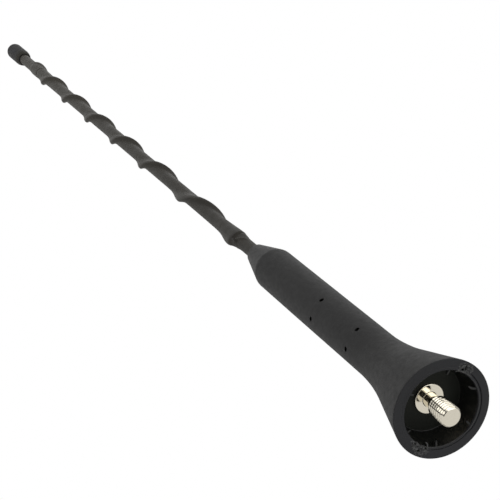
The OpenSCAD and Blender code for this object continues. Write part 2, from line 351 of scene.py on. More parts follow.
def boot_torn_material():
    m = Mat("boot_torn")
    fine = m.noise(4.0, 3.0, 0.7)
    patch = m.noise(1.7, 3.0, 0.7)
    c = m.mix(m.ramp(fine, 0.36, 0.66), grey(0.006, BOOT_TINT), grey(0.026, BOOT_TINT))
    c = m.mix(m.ramp(patch, 0.52, 0.60, 0.0, 0.9), c, grey(0.080, (0.98, 1.02, 1.0)))
    c = m.mix(m.ramp(patch, 0.36, 0.43, 0.8, 0.0), c, grey(0.003, (1.0, 0.98, 1.05)))
    m.color(c)
    m.rough(m.ramp(fine, 0.3, 0.7, 0.46, 0.62))
    m.normal(m.bump(fine, 0.13, 0.8))
    return m.mat


def torn_edge_and_lip_highlight_material():
    """Thin torn strands and the mouth's thin lip, a little paler than the rest: stretched rubber on the strands, and a
    painted highlight along the lip.
    """
    m = Mat("torn_edge_and_lip_highlight")
    fine = m.noise(3.8, 3.0, 0.65)
    c = m.mix(m.ramp(fine, 0.32, 0.68), grey(0.022, (1.0, 1.01, 0.99)), grey(0.050, (1.0, 1.01, 0.99)))
    m.color(c)
    m.rough(m.ramp(fine, 0.3, 0.7, 0.42, 0.56))
    m.normal(m.bump(fine, 0.05, 0.6))
    return m.mat


def boot_fin_material():
    """The mouth's small fins, as matt as the rim."""
    m = Mat("boot_fin")
    fine = m.noise(3.2, 3.0, 0.65)
    c = m.mix(m.ramp(fine, 0.34, 0.66), grey(0.006, (1.0, 1.01, 0.97)), grey(0.019, (1.0, 1.01, 0.97)))
    m.color(c)
    m.setv("Specular IOR Level", 0.36)
    m.rough(m.ramp(fine, 0.3, 0.7, 0.50, 0.62))
    m.normal(m.bump(fine, 0.06, 0.6))
    return m.mat


def mast_material():
    m = Mat("mast_skin")
    fine = m.noise(3.4, 3.0, 0.6)
    mottle = m.noise(0.35, 3.0, 0.5)
    along = m.noise(1.0, 2.0, 0.5, m.stretch(0.9, 0.9, 0.06))
    x, y, z = m.xyz()
    # the skin is paler towards the tip
    up = m.ramp(z, 110.0, 365.0)
    low = m.mix(m.ramp(mottle, 0.3, 0.7), grey(0.013, MAST_TINT), grey(0.020, MAST_TINT))
    top = m.mix(m.ramp(mottle, 0.3, 0.7), grey(0.039, MAST_TINT), grey(0.052, MAST_TINT))
    c = m.mix(up, low, top)
    c = m.mix(m.ramp(along, 0.45, 0.7, 0.0, 0.3), c, grey(0.040, (1.16, 1.0, 0.78)))
    m.color(c)
    m.setv("Specular Tint", (1.0, 0.975, 0.91, 1.0))
    m.rough(m.ramp(mottle, 0.3, 0.7, 0.46, 0.58))
    m.normal(m.bump(fine, 0.016, 0.5))
    return m.mat


def cap_material():
    m = Mat("cap_skin")
    fine = m.noise(3.0, 3.0, 0.65)
    mottle = m.noise(0.9, 3.0, 0.6)
    patch = m.noise(0.42, 2.0, 0.55)
    c = m.mix(m.ramp(mottle, 0.35, 0.65), grey(0.004, (0.98, 1.0, 1.04)), grey(0.010, (0.98, 1.0, 1.04)))
    # bluish and brownish clouds, and a paler olive taper at the mouth
    c = m.mix(m.ramp(patch, 0.52, 0.64, 0.0, 0.8), c, (0.009, 0.011, 0.018))
    c = m.mix(m.ramp(patch, 0.36, 0.46, 0.7, 0.0), c, (0.010, 0.008, 0.006))
    x, y, z = m.xyz()
    near = m.math("MULTIPLY", m.ramp(z, 372.03, 372.36), m.ramp(z, 373.0, 377.6, 0.9, 0.0))
    c = m.mix(near, c, (0.044, 0.041, 0.032))
    m.color(c)
    m.rough(m.ramp(mottle, 0.3, 0.7, 0.50, 0.66))
    m.setv("Specular IOR Level", 0.33)
    b = m.bump(mottle, 0.08, 0.5)
    m.normal(m.bump(fine, 0.045, 0.5, b))
    return m.mat


def metal_material(name, a, b, rough_lo, rough_hi, ring=0.0, bump_mm=0.01):
    m = Mat(name)
    fine = m.noise(6.0, 2.0, 0.5)
    turned = m.noise(9.0, 2.0, 0.6, m.stretch(0.02, 0.02, 1.0))
    m.color(m.mix(m.ramp(fine, 0.3, 0.7), a, b))
    m.setv("Metallic", 1.0)
    m.rough(m.ramp(turned, 0.3, 0.7, rough_lo, rough_hi))
    m.normal(m.bump(turned, bump_mm, 0.4))
    return m.mat


def winding_material():
    m = Mat("wire_turns")
    x, y, z = m.xyz()
    wave = m.math("SINE", m.math("MULTIPLY", z, 2*math.pi/0.32))
    # painted shade in the gaps between the wire's turns: the colour is darkest where the bump sinks
    dark = m.ramp(wave, -1.0, 1.0)
    fine = m.noise(3.0, 2.0, 0.5)
    m.color(m.mix(dark, (0.16, 0.06, 0.025), m.mix(fine, (0.55, 0.24, 0.10), (0.66, 0.32, 0.15))))
    m.setv("Metallic", 1.0)
    m.rough(m.ramp(fine, 0.3, 0.7, 0.28, 0.4))
    m.normal(m.bump(wave, 0.08, 1.0))
    return m.mat


def rod_material():
    m = Mat("glass_fibre")
    fibre = m.noise(3.0, 3.0, 0.6, m.stretch(4.0, 4.0, 0.05))
    m.color(m.mix(m.ramp(fibre, 0.3, 0.7), (0.52, 0.47, 0.30), (0.72, 0.68, 0.50)))
    m.rough(m.ramp(fibre, 0.3, 0.7, 0.35, 0.5))
    m.setv("Coat Weight", 0.3)
    m.normal(m.bump(fibre, 0.02, 0.5))
    return m.mat


def plain_material(name, a, b, lo, hi):
    m = Mat(name)
    n1 = m.noise(1.6, 3.0, 0.6)
    m.color(m.mix(m.ramp(n1, 0.3, 0.7), a, b))
    m.rough(m.ramp(n1, 0.3, 0.7, lo, hi))
    m.normal(m.bump(m.noise(5.0, 2.0, 0.5), 0.03, 0.5))
    return m.mat


# ----------------------------------------------------------------- foot
RIM_R, RIM_EDGE, RIM_MAX = 11.9, 0.16, 11.835
FLARE_H, FLARE_CURVE, FLARE_TOP = 14.8, 64.0, 31.5
BARREL_R, SHOULDER_Z, FOOT_TOP, CONE_TOP_R = 5.9, 92.3, 105.5, 2.95
SHOULDER_ROUND = 0.5
CUP_Z, CUP_FLOOR_R, CUP_MOUTH_R = 6.0, 7.95, 9.05
GROOVE_R = 10.0


def flare_at(z):
    return BARREL_R + FLARE_CURVE - math.sqrt(FLARE_CURVE**2 - (FLARE_TOP - z)**2)


FLARE_K = (RIM_R - flare_at(FLARE_H))/FLARE_H
CONE_K = (BARREL_R - CONE_TOP_R)/(FOOT_TOP - 0.35 - SHOULDER_Z)


def cone_at(z):
    return BARREL_R - CONE_K*(z - SHOULDER_Z)


def boot_profile():
    """(r, z, zone) round the section. Zones: f cup floor, c cup wall, b bead, g groove, r rim face, o outside, i inside."""
    p = []

    def add(pts, zone):
        p.extend((r, z, zone) for r, z in pts)

    add([(3.6, CUP_Z)], "f")
    add(line((3.6, CUP_Z), (CUP_FLOOR_R - 0.09, CUP_Z), 12), "f")
    add(bend((CUP_FLOOR_R - 0.09, CUP_Z), (CUP_FLOOR_R, CUP_Z), (CUP_FLOOR_R + 0.02, CUP_Z - 0.09), 5), "e")
    add(line((CUP_FLOOR_R + 0.02, CUP_Z - 0.09), (CUP_MOUTH_R, 0.45), 24), "c")
    top = (CUP_MOUTH_R + GROOVE_R - 0.1)/2
    add(bend((CUP_MOUTH_R, 0.45), (CUP_MOUTH_R + 0.02, 0.03), (top, 0.0), 12), "b")
    add(bend((top, 0.0), (GROOVE_R - 0.1, 0.02), (GROOVE_R - 0.09, 0.12), 7), "b")
    add([(GROOVE_R - 0.07, 0.22), (GROOVE_R, 0.27), (GROOVE_R + 0.07, 0.22), (GROOVE_R + 0.10, 0.06)], "g")
    add([(GROOVE_R + 0.16, 0.0)], "r")
    add(line((GROOVE_R + 0.16, 0.0), (RIM_R - RIM_EDGE, 0.0), 16), "r")
    add(bend((RIM_R - RIM_EDGE, 0.0), (RIM_R - 0.01, 0.0), (RIM_R - FLARE_K*RIM_EDGE, RIM_EDGE), 6), "r")
    add(line((RIM_R - FLARE_K*RIM_EDGE, RIM_EDGE), (RIM_R - FLARE_K*1.0, 1.0), 2), "o")
    add(line((RIM_R - FLARE_K*1.0, 1.0), (flare_at(FLARE_H), FLARE_H), 15), "o")
    add([(flare_at(z), z) for z in np.linspace(FLARE_H, FLARE_TOP, 19)[1:]], "o")
    add(line((BARREL_R, FLARE_TOP), (BARREL_R, SHOULDER_Z - SHOULDER_ROUND), 84), "o")
    low, high = SHOULDER_Z - SHOULDER_ROUND, SHOULDER_Z + SHOULDER_ROUND
    add(bend((BARREL_R, low), (BARREL_R, SHOULDER_Z), (cone_at(high), high), 7), "o")
    add(line((cone_at(high), high), (cone_at(FOOT_TOP - 0.7), FOOT_TOP - 0.7), 15), "o")
    add(bend((cone_at(FOOT_TOP - 0.7), FOOT_TOP - 0.7), (cone_at(FOOT_TOP), FOOT_TOP),
             (cone_at(FOOT_TOP) - 0.6, FOOT_TOP), 7), "o")
    add([(2.19, FOOT_TOP), (2.04, FOOT_TOP - 0.15), (2.015, FOOT_TOP - 0.6)], "o")
    add([(2.015, 96.0), (1.56, 96.0), (1.56, 66.0), (3.0, 66.0), (3.0, 14.0), (2.6, 14.0), (2.6, 7.0), (3.6, 7.0)], "i")
    return p


def boot_angles():
    """Directions of the mesh's columns, closer together at the two parting lines."""
    a = []
    for centre in (0.0, 180.0):
        a += [centre + x for x in np.arange(-14.0, 14.01, 0.5)]
        a += [centre + 14.0 + x for x in np.linspace(0, 152.0, 81)[1:-1]]
    return [rad(x) for x in sorted(v % 360.0 for v in a)]


# the two rough marks where the moulding was cut from its feed, on the rim: corners as (direction in degrees, radius)
TORN = (
    ((-9.3, 8.85), (-10.4, 10.95), (-0.5, 11.54), (7.5, 11.53), (11.4, 10.07), (3.1, 9.01)),
    ((-162.5, 9.76), (-170.7, 10.78), (-179.5, 11.3), (171.3, 11.5), (164.0, 10.33), (168.0, 9.2), (178.0, 8.6), (-168.7, 9.04)),
)
# small pits in them: (direction, radius, size, depth), degrees and mm
PITS = ((-3.6, 9.87, 0.33, 0.85), (-0.4, 10.79, 0.21, 0.50), (0.1, 10.47, 0.21, 0.55), (0.5, 10.19, 0.20, 0.40),
        (5.9, 10.5, 0.22, 0.15), (179.2, 10.57, 0.28, 0.45), (-171.0, 9.59, 0.26, 0.40), (170.5, 9.6, 0.28, 0.40),
        (175.5, 10.05, 0.24, 0.25))


def inside(x, y, corners):
    """Distance from an outline given by its corners: positive inside it, negative outside."""
    pts = [(r*math.cos(rad(a)), r*math.sin(rad(a))) for a, r in corners]
    best, odd = 1e9, False
    for k, (x0, y0) in enumerate(pts):
        x1, y1 = pts[(k + 1) % len(pts)]
        ex, ey = x1 - x0, y1 - y0
        t = min(1.0, max(0.0, ((x - x0)*ex + (y - y0)*ey)/(ex*ex + ey*ey)))
        best = min(best, math.hypot(x - x0 - t*ex, y - y0 - t*ey))
        if (y0 > y) != (y1 > y) and x < x0 + (y - y0)*ex/ey:
            odd = not odd
    return best if odd else -best


def torn_mask(r, az):
    if r < 8.9 or abs(math.sin(az)) > 0.35:
        return 0.0
    x, y = r*math.cos(az), r*math.sin(az)
    d = max(inside(x, y, outline) for outline in TORN)
    d += 0.38*n3(x, y, 0.0, 1.1, 3.1) + 0.16*n3(x, y, 0.0, 3.0, 6.1)
    return smooth(-0.30, 0.25, d)*(1 - smooth(11.45, 11.75, r))


def in_pit(r, az):
    if abs(math.sin(az)) > 0.35:
        return False
    x, y = r*math.cos(az), r*math.sin(az)
    return any(deep > 0.3 and math.hypot(x - pr*math.cos(rad(pa)), y - pr*math.sin(rad(pa))) < size
               for pa, pr, size, deep in PITS)


def torn_height(r, az):
    """How far the torn rubber stands out of the rim face, in mm."""
    x, y = r*math.cos(az), r*math.sin(az)
    a = 1 - abs(n3(x, y, 0.0, 0.95, 7.3))*2.2
    b = 1 - abs(n3(x, y, 0.0, 2.1, 1.9))*2.0
    c = n3(x, y, 0.0, 4.5, 5.5)
    return 0.24*max(a, -0.5) + 0.17*max(b, -0.7) + 0.12*c - 0.16


def groove_depth(az):
    """Share of the full depth: the groove is sharp on one side of the mouth and faint on the other."""
    d = math.degrees(az) % 360.0
    on = smooth(2.0, 24.0, d)*(1 - smooth(150.0, 178.0, d))
    return 0.16 + 0.84*on


def groove_shift(az):
    """The groove isn't quite round: how far it lies inside its mean circle, in mm."""
    d = math.degrees(az) % 360.0
    return -0.13 - 0.17*smooth(96.0, 106.0, d)*(1 - smooth(150.0, 175.0, d))


def lip_radius(az):
    """Where the thin torn lip of the mouth runs."""
    d = math.degrees(az) % 360.0
    return 9.11 + 0.32*smooth(12.0, 30.0, d)*(1 - smooth(96.0, 112.0, d))


def lip_share(az):
    d = math.degrees(az) % 360.0
    return smooth(10.0, 24.0, d)*(1 - smooth(166.0, 172.0, d)) + smooth(186.0, 191.0, d)*(1 - smooth(204.0, 212.0, d))


def boot_move(prof):
    def move(r, z, az, i):
        zone = prof[i][2]
        x, y = r*math.cos(az), r*math.sin(az)
        if zone in "rbg":
            if zone == "g" or (zone == "b" and r > 9.8):
                z *= groove_depth(az)
            # the rim is a little uneven, as soft rubber is
            z += 0.025*n3(x, y, 0, 0.35, 2.0) + 0.012*n3(x, y, 0, 1.4, 8.0)
            if zone == "b":
                # the bead is thicker and thinner along its way, and ends in a thin lip
                z += 0.05*n3(x, y, 0, 0.8, 4.0)*min(1.0, max(0.0, (9.5 - r)*3))
                k = lip_share(az)*(0.8 + 0.5*n3(x, y, 0, 0.9, 5.2))
                z -= 0.09*k*math.exp(-((r - lip_radius(az))/0.10)**2)
            k = torn_mask(r, az)
            if k > 0 and r < RIM_R - 0.1:
                z -= k*torn_height(r, az)
            if r < RIM_R - 0.2:
                for pa, pr, size, deep in PITS:
                    dx = x - pr*math.cos(rad(pa))
                    dy = y - pr*math.sin(rad(pa))
                    q = (dx*dx + dy*dy)/(size*size)
                    if q < 4:
                        z += deep*math.exp(-q*1.6)
            r += groove_shift(az)*smooth(9.05, 9.6, r)*(1 - smooth(10.1, 11.3, r))
            r = min(r, RIM_MAX)
        elif zone in "cef":
            r += 0.02*n3(x, y, z, 0.5, 1.0)
        elif zone == "o":
            r += 0.022*n3(x, y, z*0.5, 0.12, 6.0) + 0.008*n3(x, y, z, 0.6, 9.0)
            # the thin raised line where the mould's two halves met
            for c in (0.0, math.pi):
                d = abs(wrap(az - c))*max(r, 2.0)
                r += 0.035*math.exp(-(d/0.10)**2)
            r = min(r, RIM_MAX)
        return r, z
    return move


def fin_mesh(way, widths, deep, verts, faces):
    """One small fin of the mouth, added to verts and faces: a tapered tongue of rubber with softened edges.

    way is its middle line from the wall to the tip as (direction in degrees, radius, height of its lower edge).
    """
    p = [Vector((r*math.cos(rad(a)), r*math.sin(rad(a)), z)) for a, r, z in way]
    # four steps between the given points
    q = []
    for k in range(len(p) - 1):
        a, b, c, d = p[max(k - 1, 0)], p[k], p[k + 1], p[min(k + 2, len(p) - 1)]
        for i in range(4):
            t = i/4
            q.append(0.5*((2*b) + (c - a)*t + (2*a - 5*b + 4*c - d)*t*t + (3*b - a - 3*c + d)*t*t*t))
    q.append(p[-1])
    n = len(q)
    base = len(verts)
    ring = 12
    for i, c in enumerate(q):
        t = i/(n - 1)
        way_on = q[min(i + 1, n - 1)] - q[max(i - 1, 0)]
        side = Vector((way_on.y, -way_on.x, 0.0)).normalized()
        w = 0.5*(widths[0]*(1 - t)**0.8 + widths[1]*(1 - (1 - t)**0.8))
        h = 0.5*(deep[0]*(1 - t)**1.1 + deep[1]*t)
        if t > 0.9:
            w *= 0.6
            h *= 0.7
        for k in range(ring):
            a = 2*math.pi*k/ring
            cx = math.copysign(abs(math.cos(a))**0.6, math.cos(a))*w
            cz = math.copysign(abs(math.sin(a))**0.6, math.sin(a))*h + h
            cx *= 1 + 0.12*n3(c.x, c.y, a, 1.5, 2.2)
            verts.append(tuple((c + side*cx + Vector((0, 0, cz)))*MM))
    for i in range(n - 1):
        for k in range(ring):
            m = (k + 1) % ring
            a, b = base + i*ring + k, base + i*ring + m
            faces.append((a, b, b + ring, a + ring))
    faces.append(tuple(base + k for k in range(ring))[::-1])
    faces.append(tuple(base + (n - 1)*ring + k for k in range(ring)))


def strand_mesh(pts, radii, verts, faces, ring=7, flat=0.55):
    """A thin torn strand through points (direction in degrees, radius, height in mm)."""
    base = len(verts)
    p = [Vector((r*math.cos(rad(a)), r*math.sin(rad(a)), z)) for a, r, z in pts]
    n = len(p)
    for i, c in enumerate(p):
        t = (p[min(i + 1, n - 1)] - p[max(i - 1, 0)]).normalized()
        u = t.cross(Vector((0, 0, 1)))
        u = u.normalized() if u.length > 1e-6 else Vector((1, 0, 0))
        v = t.cross(u).normalized()
        for k in range(ring):
            q = 2*math.pi*k/ring
            w = radii[i]*(1 + 0.25*n3(c.x, c.y, q, 2.0, i))
            verts.append(tuple((c + u*math.cos(q)*w + v*math.sin(q)*w*flat)*MM))
    for i in range(n - 1):
        for k in range(ring):
            l = (k + 1) % ring
            a, b = base + i*ring + k, base + i*ring + l
            faces.append((a, b, b + ring, a + ring))
    faces.append(tuple(base + k for k in range(ring))[::-1])
    faces.append(tuple(base + (n - 1)*ring + k for k in range(ring)))


def oriented(verts, faces, start_v, start_f):
    """Turns one closed shell's faces outward."""
    part = faces[start_f:]
    v = np.asarray(verts[start_v:], dtype=float)
    part_local = [tuple(i - start_v for i in f) for f in part]
    if signed_volume(v, part_local) < 0:
        faces[start_f:] = [f[::-1] for f in part]


def build_boot():
    prof = boot_profile()
    angles = boot_angles()
    verts, faces = lathe([(r, z) for r, z, _ in prof], angles, boot_move(prof))
    zones = [q[2] for q in prof]
    n, m = len(prof), len(angles)
    face_mat = []
    for i in range(n):
        k = (i + 1) % n
        zi, zk = zones[i], zones[k]
        for j in range(m):
            az = angles[j] + 0.5*((angles[(j + 1) % m] - angles[j]) % (2*math.pi))
            r = (prof[i][0] + prof[k][0])/2
            if zi in "rbg" and zk in "rbg" and in_pit(r, az):
                face_mat.append(4)
            elif zi in "rbg" and zk in "rbg" and torn_mask(r, az) > 0.45:
                face_mat.append(3)
            # the thin lip takes the paler edge finish, which paints a highlight along the mouth's edge
            elif zi == "b" and zk == "b" and lip_share(az) > 0.5 and abs(r - lip_radius(az)) < 0.075:
                face_mat.append(5)
            elif zi == "i" and zk == "f":
                face_mat.append(2)
            elif zk == "f" or (zi in "fe" and zk == "e" and not 118.0 < math.degrees(az) % 360.0 < 190.0):
                face_mat.append(4)
            elif zk in "ce" or (zi == "c" and zk == "b"):
                face_mat.append(2)
            elif zi in "bgr" and zk in "bgr":
                face_mat.append(1)
            elif zi == "i" or zk == "i":
                face_mat.append(2)
            else:
                face_mat.append(0)
    mats = (boot_outer_material(), boot_rim_material(), boot_cup_material(), boot_torn_material(),
            boot_floor_material(), torn_edge_and_lip_highlight_material(), boot_fin_material())
    boot = make_object("boot_rubber", verts, faces, 50.0, mats, face_mat)

    # fins and torn strands, joined to the moulding
    v, f = [], []
    fins = (
        (((-90, 9.35, 0.30), (-90, 8.6, 0.34), (-89, 8.15, 0.40)), (0.60, 0.34), (1.4, 0.4)),
        (((-20.9, 9.45, 0.26), (-22.0, 8.7, 0.30), (-24.1, 7.95, 0.36)), (0.62, 0.34), (1.5, 0.45)),
        (((37.2, 9.45, 0.24), (36.0, 8.75, 0.28), (32.5, 8.2, 0.32), (26.6, 7.78, 0.48)), (0.74, 0.42), (1.4, 0.35)),
        (((93.8, 9.55, 0.20), (92.4, 8.6, 0.30), (91.0, 7.70, 0.36)), (0.72, 0.20), (1.5, 0.4)),
        (((152.9, 9.35, 0.24), (153.2, 8.5, 0.30), (153.8, 7.65, 0.38)), (0.80, 0.28), (1.3, 0.35)),
        (((-152.4, 9.35, 0.24), (-149.8, 9.05, 0.26), (-150.0, 8.25, 0.36)), (0.46, 0.26), (1.4, 0.4)),
    )
    for way, widths, deep in fins:
        sv, sf = len(v), len(f)
        fin_mesh(way, widths, deep, v, f)
        oriented(v, f, sv, sf)
    n_fin = len(f)
    strands = (
        ([(-11.4, 8.80, 0.35), (-9.3, 9.23, 0.05), (-4.5, 9.42, -0.06), (1.1, 9.43, -0.09), (6.7, 9.41, -0.07),
          (11.5, 9.45, -0.04), (15.3, 9.5, 0.02)], (0.07, 0.14, 0.13, 0.12, 0.11, 0.10, 0.06)),
        ([(-8.0, 9.7, 0.05), (-7.2, 10.1, -0.10), (-5.5, 10.6, -0.16), (-2.4, 11.0, -0.08)], (0.14, 0.24, 0.26, 0.14)),
        ([(4.6, 11.1, -0.02), (8.0, 10.95, -0.14), (9.8, 10.6, -0.14), (9.2, 10.1, -0.02)], (0.12, 0.22, 0.24, 0.13)),
        ([(2.8, 9.85, -0.02), (4.4, 9.95, -0.14), (6.6, 9.9, -0.06)], (0.09, 0.14, 0.08)),
        ([(173.0, 8.22, 0.40), (170.4, 8.38, 0.28), (168.7, 8.68, 0.14), (168.9, 9.05, 0.0), (169.3, 9.4, -0.08)],
         (0.10, 0.15, 0.16, 0.16, 0.12)),
        ([(-170.6, 9.95, 0.02), (-171.8, 10.4, -0.14), (-173.0, 10.85, -0.08)], (0.10, 0.19, 0.10)),
        ([(-171.8, 8.95, 0.25), (-173.4, 9.1, -0.02), (-176.4, 9.3, -0.10), (-178.4, 9.6, -0.05)], (0.08, 0.15, 0.17, 0.09)),
        ([(179.4, 10.95, 0.0), (177.2, 10.95, -0.16), (175.2, 10.8, -0.06)], (0.10, 0.17, 0.10)),
        ([(169.9, 10.6, 0.0), (168.3, 10.45, -0.16), (166.8, 10.25, -0.06)], (0.10, 0.17, 0.09)),
        ([(-166.0, 9.35, 0.05), (-167.6, 9.6, -0.10), (-168.6, 10.0, -0.05)], (0.09, 0.14, 0.09)),
    )
    for pts, radii in strands:
        sv, sf = len(v), len(f)
        strand_mesh(pts, radii, v, f)
        oriented(v, f, sv, sf)
    added = make_object("boot_added", v, f, 50.0, mats, [6]*n_fin + [5]*(len(f) - n_fin))
    boolean(boot, added, "UNION")

    # the eight holes left by the mould's pins
    v, f = [], []
    reach = math.sqrt(3.0**2 - 2.71**2)
    for z in (36.0, 56.0):
        for x in (-2.71, 2.71):
            for s in (-1, 1):
                sv, sf = len(v), len(f)
                seg, steps = 28, ((-reach + 0.6), -3.0, -5.0, -7.0)
                for y in steps:
                    for k in range(seg):
                        q = 2*math.pi*k/seg
                        v.append(((x + 0.57*math.cos(q))*MM, -s*y*MM, (z + 0.57*math.sin(q))*MM))
                for i in range(len(steps) - 1):
                    for k in range(seg):
                        l = (k + 1) % seg
                        a, b = sv + i*seg + k, sv + i*seg + l
                        f.append((a, b, b + seg, a + seg))
                f.append(tuple(sv + k for k in range(seg))[::-1])
                f.append(tuple(sv + (len(steps) - 1)*seg + k for k in range(seg)))
                oriented(v, f, sv, sf)
    pins = make_object("boot_pins", v, f, 50.0, mats, [2]*len(f))
    boolean(boot, pins, "DIFFERENCE")
    finish_mesh(boot, 50.0)
    return boot


boot = build_boot()
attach(boot, "root")
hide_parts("boot")


# ----------------------------------------------------------------- stud
THREAD_R, THREAD_ROOT, PITCH = 2.5, 2.214, 0.8
THREAD_END, THREAD_TOP = -4.4, 2.1
END_R, END_ROUND = 2.03, 0.50     # where the end's 45 degree chamfer would meet the flat end, and the rounding there
END_REACH = END_ROUND*math.tan(rad(22.5))


def end_radius(h):
    """Radius of the stud's chamfered and rounded end, h above it."""
    if h < END_REACH*math.sin(rad(45.0)):
        return END_R - END_REACH + math.sqrt(max(0.0, END_ROUND**2 - (END_ROUND - h)**2))
    return END_R + h


def thread_radius(z, az):
    u = ((z - PITCH*az/(2*math.pi) + 0.15)/PITCH) % 1.0
    d = abs(u - 0.5)*PITCH          # 0 at the crest's middle
    k = 1 - min(1.0, max(0.0, (d - 0.03)/(0.5*PITCH - 0.06)))
    # the thread is a little shallower where it runs up to the neck
    root = THREAD_ROOT + 0.036*smooth(-1.9, -1.2, z)
    r = root + (THREAD_R - root)*k
    # the turned chamfers at the two ends
    r = min(r, end_radius(z - THREAD_END))
    r = min(r, 2.02 + (THREAD_TOP - z)*1.15)
    return r


def build_stud():
    prof = [(0.0, THREAD_END), (0.35, THREAD_END), (0.8, THREAD_END), (1.3, THREAD_END), (1.7, THREAD_END), (2.0, THREAD_END)]
    first = len(prof)
    zs = [THREAD_END + h for h in (0.0, 0.004, 0.014, 0.030, 0.055, 0.085, 0.115, 0.147)]
    zs += list(np.arange(THREAD_END + 0.18, THREAD_TOP + 0.001, 0.04))
    prof += [(2.5, float(z)) for z in zs]
    last = len(prof)
    prof += [(1.95, 2.12), (1.80, 2.20), (1.75, 2.32)]
    prof += line((1.75, 2.32), (1.75, 5.30), 10)
    prof += bend((1.75, 5.30), (1.75, 5.5), (1.95, 5.5), 4)
    prof += line((1.95, 5.5), (3.42, 5.5), 10)
    prof += bend((3.42, 5.5), (3.6, 5.5), (3.6, 5.68), 4)
    prof += [(3.6, 6.2), (3.6, 7.0), (2.6, 7.0), (2.6, 14.0), (2.0, 14.0), (2.0, 25.7), (1.8, 26.0), (0.0, 26.0)]
    seg = 144
    angles = [2*math.pi*j/seg for j in range(seg)]

    def move(r, z, az, i):
        if i < first:
            edge = END_R - END_REACH
            # a slight dish from turning, and a small raised centre pip that the cut left
            return min(r, edge - 0.03), z + 0.02*math.exp(-(r/1.2)**2)
        if i < last:
            return thread_radius(z, az), z
        if 2.6 < z < 5.3 and r < 1.8:
            r += 0.0004*n3(math.cos(az), math.sin(az), z, 1.2, 2.0)
        return r, z

    verts, faces = lathe(prof, angles, move, closed=False)
    m = metal_material("plated_stud", (0.90, 0.845, 0.72), (0.84, 0.785, 0.65), 0.07, 0.12, bump_mm=0.002)
    return make_object("screw_stud", verts, faces, 32.0, (m,))


stud = build_stud()
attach(stud, "root")
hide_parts("threaded_stud")


# ----------------------------------------------------------------- mast
SLEEVE_R, SLEEVE_GROW, RIB_H = 2.0, 0.15, 1.2
RIB_WIDE, RIB_STEEP, RIB_POWER = 0.773, 0.424, 2.33
RIB_Z0, RIB_Z1 = 117.5, 353.1
CREASE_Z, LIP_Z, LIP_H, RIDGE_H = 117.95, 117.0, 0.30, 0.24
LEAD_TOP, LEAD_LOW, LEAD_Z, LEAD_BLEND = 32.405, 43.281, 190.1, 7.743
RIB_PHASE = -0.395 + math.atan2(-0.9781476, 0.2079117)
TURN_PITCH = 0.95


def crest(z):
    a = 2*math.pi/LEAD_TOP
    b = 2*math.pi/LEAD_LOW - a

    def run(v):
        return LEAD_BLEND*math.log1p(math.exp((LEAD_Z - v)/LEAD_BLEND))
    return RIB_PHASE + a*(360 - z) + b*(run(z) - run(360.0))


def rise(t):
    return 1/(1 + math.exp(-max(-40.0, min(40.0, t))))


def ridge_on(az):
    a = math.degrees(wrap(az))
    return smooth(-114.0, -102.0, a)*(1 - smooth(-44.0, -14.0, a))


def ridge_line(az):
    """Height of the cord's last tight turn, which shows as a low slanting ridge over the lower tie's edge."""
    return 117.0 - (math.degrees(wrap(az)) + 98.0)/17.3


def tie_end(az):
    """Height of the lower tie's edge: it drops where the cord's end lies under it."""
    a = math.degrees(wrap(az))
    if a < -150.0 or a > -96.0:
        return CREASE_Z
    under = min(CREASE_Z, ridge_line(az) - 1.9)
    return under + (CREASE_Z - under)*smooth(-104.0, -97.0, a)


def sleeve_radius(d, z, az):
    g = math.exp(-abs(d/(RIB_WIDE if d > 0 else RIB_STEEP))**RIB_POWER)
    high = rise((RIB_Z1 - z)/1.2)
    low = rise((z - tie_end(az))/0.22) if 112.0 < z < 123.0 else rise((z - CREASE_Z)/0.22)
    env = high*rise((z - CREASE_Z - 0.75)/0.5)
    swell = 0.42*math.exp(-((RIB_Z1 - z)/20)**2)*high + 0.51*math.exp(-((z - RIB_Z0)/10.7)**2)*low
    lip = LIP_H*math.exp(-((z - LIP_Z)/(0.65 if z > LIP_Z else 1.9))**2)*(1 - low)
    if 112.0 < z < 123.0:
        on = ridge_on(az)
        above = z - ridge_line(az)
        lip = lip*(1 - on) + on*RIDGE_H*math.exp(-(above/(0.50 if above > 0 else 1.10))**2)*(1 - 0.4*low)
    k = g*env
    r = SLEEVE_R + SLEEVE_GROW*smooth(150.0, 358.0, z) + RIB_H*k + swell*(1 - k) + lip
    # the crease where the upper tie ends, and the cord's end beside the rib
    r -= 0.16*math.exp(-((z - 342.0)/0.5)**2)*(1 - k)
    r -= 0.10*math.exp(-((d - 0.50)/0.14)**2)*smooth(322.0, 334.0, z)*high
    free = 1 - smooth(370.5, 371.5, z)
    # the turns of the wire under the skin
    turns = math.cos(2*math.pi*z/TURN_PITCH - az)
    show = (0.010 + 0.008*n3(0, 0, z, 0.05, 3.0) + 0.009*math.exp(-((z - 158.0)/20.0)**2))*(1 - 0.7*k)
    r += turns*max(0.0, show)*free
    rough = 0.016 - 0.009*smooth(150.0, 320.0, z)
    r += rough*n3(math.cos(az)*1.6, math.sin(az)*1.6, z*0.35, 0.9, 5.0)*free
    return r


